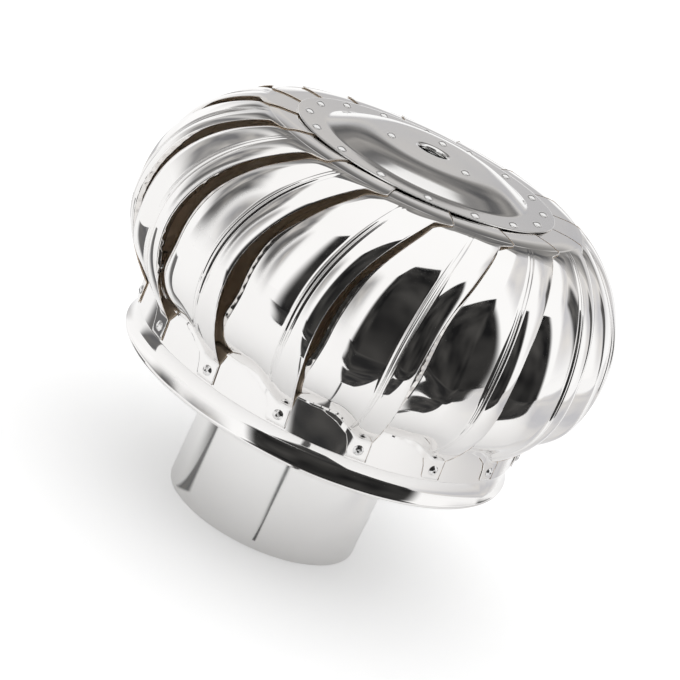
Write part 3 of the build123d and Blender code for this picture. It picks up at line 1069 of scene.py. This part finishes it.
@dataclass
class Fasteners:
    """Rivets that show on the rotor."""

    head: float = 2.75
    rise: float = 1.3
    dome_share: float = 0.97
    dome_points: int = 9
    brim: float = 0.06
    shank: float = 1.6
    tail: float = 2.3
    tail_length: float = 1.6
    tail_bevel: float = 0.4
    pin: float = 0.9
    pin_depth: float = 0.9
    solid_grip: float = 1.6
    blind_grip: float = 1.5

    def dome(self, inner: float) -> list[tuple[float, float]]:
        """Outline of a domed head from its middle, or the pin hole's rim, to its edge.

        Args:
            inner: Radius where the outline starts.

        Returns:
            Radius and height pairs.
        """
        ball = (self.head**2 + self.rise**2) / (2.0 * self.rise)
        radii = np.linspace(inner, self.head * self.dome_share, self.dome_points)
        dome = [(float(r), float(math.sqrt(ball**2 - r**2) - ball + self.rise)) for r in radii]
        return dome + [(self.head, self.brim), (self.head, 0.0)]

    def below(self, grip: float) -> list[tuple[float, float]]:
        """Outline of the shank and the set tail, under the head."""
        foot = -grip - self.tail_length
        shank = [(self.shank, 0.0), (self.shank, -grip)]
        return shank + [(self.tail, -grip), (self.tail, foot + self.tail_bevel), (0.0, foot)]

    def build(self, palette: Palette) -> None:
        """Make the three rows of rivets.

        Args:
            palette: The finishes.
        """
        solid = self.dome(0.0) + self.below(self.solid_grip)
        floor = self.rise - self.pin_depth
        hollow = [(0.0, floor), (self.pin, floor)]
        blind = hollow + self.dome(self.pin) + self.below(self.blind_grip)
        upright, outward = 0.0, 90.0
        rows = (
            RivetRow("top_rivet_heads", "top_rivets", 16, 67.0, 216.3, 0.0, upright, solid),
            RivetRow("hub_rivet_heads", "hub_rivets", 3, 24.8, 223.7, 76.5, upright, solid),
            RivetRow("foot_rivet_heads", "foot_rivets", 16, 111.35, 95.9, -13.4, outward, blind),
        )
        for row in rows:
            row.build(palette)


@dataclass(frozen=True)
class Card:
    """A card round the part, from its near or lower edge to its far or upper one.

    Attributes:
        name: Card name.
        azimuth: Turn from the camera's side.
        near: Distance of the lower edge from its base.
        far: Distance of the upper edge from its base.
        levels: Levels of the two edges.
        near_width: Width of the lower edge.
        far_width: Width of the upper edge.
        grey: How light it is.
        soft: Share of the card that a fade takes at its sides and at its ends.
        base: Where its distances start, in front of the axis and to its right.
        clouds: Share by which its grey goes up and down.
    """

    name: str
    azimuth: float
    near: float
    far: float
    levels: tuple[float, float]
    near_width: float
    far_width: float
    grey: float
    soft: tuple[float, float] = (0.12, 0.12)
    base: tuple[float, float] = (0.0, 0.0)
    clouds: float = 0.15


STUDIO_CARDS = (
    Card(
        "front_card", 24.0, 600.0, 640.0, (-60.0, 1300.0), 1500.0, 1300.0, 0.04,
        (0.14, 0.02), clouds=0.7,
    ),
    Card(
        "front_floor_card", 20.0, 420.0, 690.0, (2.0, 2.0), 860.0, 1640.0, 0.05,
        (0.1, 0.004), clouds=0.6,
    ),
    Card("front_patch", 8.0, 262.0, 430.0, (2.5, 2.5), 70.0, 350.0, 0.06, (0.1, 0.004), clouds=0.5),
    Card("front_floor_line", 5.0, 4.0, 204.0, (2.0, 2.0), 3.0, 22.0, 0.1, (0.3, 0.01), (56.0, 3.0)),
    Card(
        "left_low_card", -50.0, 640.0, 660.0, (0.0, 900.0), 520.0, 420.0, 0.42,
        (0.45, 0.45), clouds=0.3,
    ),
    Card(
        "left_card", -78.0, 780.0, 860.0, (0.0, 1100.0), 420.0, 420.0, 0.16,
        (0.45, 0.3), clouds=0.4,
    ),
    Card(
        "far_left_card", -104.0, 900.0, 1000.0, (120.0, 1500.0), 1300.0, 1300.0, 0.4,
        (0.3, 0.25), clouds=0.5,
    ),
    Card(
        "left_floor_card", -107.0, 4.0, 420.0, (2.0, 2.0), 15.0, 190.0, 0.16,
        (0.3, 0.01), (34.0, -43.0),
    ),
    Card(
        "right_card", 124.0, 900.0, 900.0, (0.0, 760.0), 300.0, 300.0, 0.1,
        (0.25, 0.2), clouds=0.5,
    ),
    Card("far_right_card", 128.0, 1300.0, 1300.0, (0.0, 2200.0), 2000.0, 2000.0, 0.74, (0.3, 0.25)),
    Card("right_floor_card", 84.0, 60.0, 1000.0, (1.5, 1.5), 260.0, 1700.0, 0.7, (0.3, 0.2)),
    Card(
        "back_card", 184.0, 900.0, 1000.0, (520.0, 1800.0), 2400.0, 2200.0, 0.26,
        (0.3, 0.1), clouds=0.6,
    ),
    Card("back_low_card", 180.0, 1000.0, 1000.0, (300.0, 700.0), 1800.0, 1800.0, 0.6, (0.4, 0.2)),
    Card("back_floor_card", 180.0, 180.0, 900.0, (2.0, 2.0), 700.0, 1700.0, 0.62, (0.3, 0.2)),
)


@dataclass
class Studio:
    """Floor, cards, world and camera."""

    look_at: tuple[float, float, float] = (-1.45, 0.17, 107.9)
    distance: float = 1155.5
    azimuth: float = 263.44
    elevation: float = 18.33
    roll: float = 25.49
    lens: float = 113.85
    sensor: float = 36.0
    floor_side: float = 9000.0
    floor_grey: float = 0.97
    floor_lift: float = 0.16
    light: float = 1.07
    sight: float = 50000.0
    cards: tuple[Card, ...] = STUDIO_CARDS

    def toward(self, azimuth: float, elevation: float) -> Vector:
        """Unit vector at a turn and an elevation."""
        turn, lift = math.radians(azimuth), math.radians(elevation)
        level = math.cos(lift)
        return Vector((math.cos(turn) * level, math.sin(turn) * level, math.sin(lift)))

    def camera(self) -> None:
        """Stand the camera."""
        data = bpy.data.cameras.new("camera")
        data.lens = self.lens
        data.sensor_width = self.sensor
        data.clip_end = self.sight * MM
        camera = linked("camera", data)
        out = self.toward(self.azimuth, self.elevation)
        right = Vector((0, 0, 1)).cross(out).normalized()
        above = out.cross(right)
        roll = math.radians(self.roll)
        camera_right = right * math.cos(roll) + above * math.sin(roll)
        camera_up = above * math.cos(roll) - right * math.sin(roll)
        turn = Matrix((camera_right, camera_up, out)).transposed().to_4x4()
        place = (Vector(self.look_at) + out * self.distance) * MM
        camera.matrix_world = Matrix.Translation(place) @ turn
        bpy.context.scene.camera = camera

    def world(self) -> None:
        """Light the scene evenly from all round."""
        world = bpy.data.worlds.new("studio")
        bpy.context.scene.world = world
        world.use_nodes = True
        background = world.node_tree.nodes["Background"]
        background.inputs["Color"].default_value = (1.0, 1.0, 1.0, 1.0)
        background.inputs["Strength"].default_value = self.light

    def floor(self) -> None:
        """Lay the pale floor under the neck pipe, a little lifted in what the camera sees."""
        material, nodes, shader = blank("pale_floor")
        shader.inputs["Base Color"].default_value = (*[self.floor_grey] * 3, 1.0)
        shader.inputs["Roughness"].default_value = 1.0
        shader.inputs["Specular IOR Level"].default_value = 0.0
        shader.inputs["Emission Color"].default_value = (1.0, 1.0, 1.0, 1.0)
        seen = nodes.add("ShaderNodeLightPath").outputs["Is Camera Ray"]
        lift = nodes.math("MULTIPLY", seen, self.floor_lift)
        nodes.link(lift, shader.inputs["Emission Strength"])
        side = self.floor_side
        corners = [(-side, -side, 0.0), (side, -side, 0.0), (side, side, 0.0), (-side, side, 0.0)]
        new_object("floor", np.array(corners), [(0, 1, 2, 3)], material)

    def feathered(self, card: Card) -> bpy.types.Material:
        """Make a clouded grey finish that fades out towards a card's edges.

        Args:
            card: The card that it is for.

        Returns:
            The material.
        """
        material, nodes, shader = blank(card.name)
        across = nodes.add("ShaderNodeTexCoord").outputs["UV"]
        place = nodes.add("ShaderNodeSeparateXYZ")
        nodes.link(across, place.inputs["Vector"])
        fades = []
        for axis, share in zip(("X", "Y"), card.soft):
            fade = nodes.add("ShaderNodeMapRange", interpolation_type="SMOOTHSTEP")
            fade.inputs["From Max"].default_value = share
            nodes.link(nodes.math("PINGPONG", place.outputs[axis], 0.5), fade.inputs["Value"])
            fades.append(fade.outputs["Result"])
        shader.inputs["Base Color"].default_value = (0.0, 0.0, 0.0, 1.0)
        shader.inputs["Specular IOR Level"].default_value = 0.0
        tint = nodes.add("ShaderNodeMix", data_type="RGBA")
        low, high = card.grey * (1.0 - card.clouds), card.grey * (1.0 + card.clouds)
        tint.inputs["A"].default_value = (*[low * part for part in COOL], 1.0)
        tint.inputs["B"].default_value = (*[high * part for part in WARM], 1.0)
        clouds = nodes.noise(across, scale=CLOUD_SCALE, detail=2.0)
        nodes.link(nodes.ramp(clouds, *CLOUD_RANGE, 0.0, 1.0), tint.inputs["Factor"])
        nodes.link(tint.outputs["Result"], shader.inputs["Emission Color"])
        shader.inputs["Emission Strength"].default_value = 1.0
        clear = nodes.add("ShaderNodeBsdfTransparent")
        mix = nodes.add("ShaderNodeMixShader")
        nodes.link(nodes.math("MULTIPLY", *fades), mix.inputs["Fac"])
        nodes.link(clear.outputs["BSDF"], mix.inputs[1])
        nodes.link(shader.outputs["BSDF"], mix.inputs[2])
        nodes.link(mix.outputs["Shader"], nodes.tree.nodes["Material Output"].inputs["Surface"])
        return material

    def card(self, card: Card) -> None:
        """Stand a card that only reflections see.

        Args:
            card: Its place and size.
        """
        out = self.toward(self.azimuth + card.azimuth, 0.0)
        right = Vector((0, 0, 1)).cross(out).normalized()
        front = self.toward(self.azimuth, 0.0)
        base = front * card.base[0] + Vector((0, 0, 1)).cross(front) * card.base[1]
        near, far = base + out * card.near, base + out * card.far
        low, high = (Vector((0, 0, level)) for level in card.levels)
        corners = [
            near - right * card.near_width / 2.0 + low,
            near + right * card.near_width / 2.0 + low,
            far + right * card.far_width / 2.0 + high,
            far - right * card.far_width / 2.0 + high,
        ]
        points = np.array([tuple(corner) for corner in corners])
        obj = new_object(card.name, points, [(0, 1, 2, 3)], self.feathered(card))
        layer = obj.data.uv_layers.new(name="card")
        for loop, spot in zip(layer.data, ((0, 0), (1, 0), (1, 1), (0, 1))):
            loop.uv = spot
        obj.visible_camera = False
        obj.visible_shadow = False
        obj.visible_diffuse = False

    def build(self) -> None:
        """Set up the studio."""
        self.world()
        self.floor()
        for card in self.cards:
            self.card(card)
        self.camera()
        bpy.context.scene.view_settings.view_transform = "Standard"


def main() -> None:
    """Build the part's looks in order."""
    logging.basicConfig(level=logging.INFO, format="%(name)s: %(message)s")
    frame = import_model()
    palette = Palette()
    palette.build()
    palette.dress_frame(frame)
    Vanes().build(palette)
    CapForm().build(palette)
    RingForm().build(palette)
    Fasteners().build(palette)
    Studio().build()


if __name__ == "__main__":
    main()
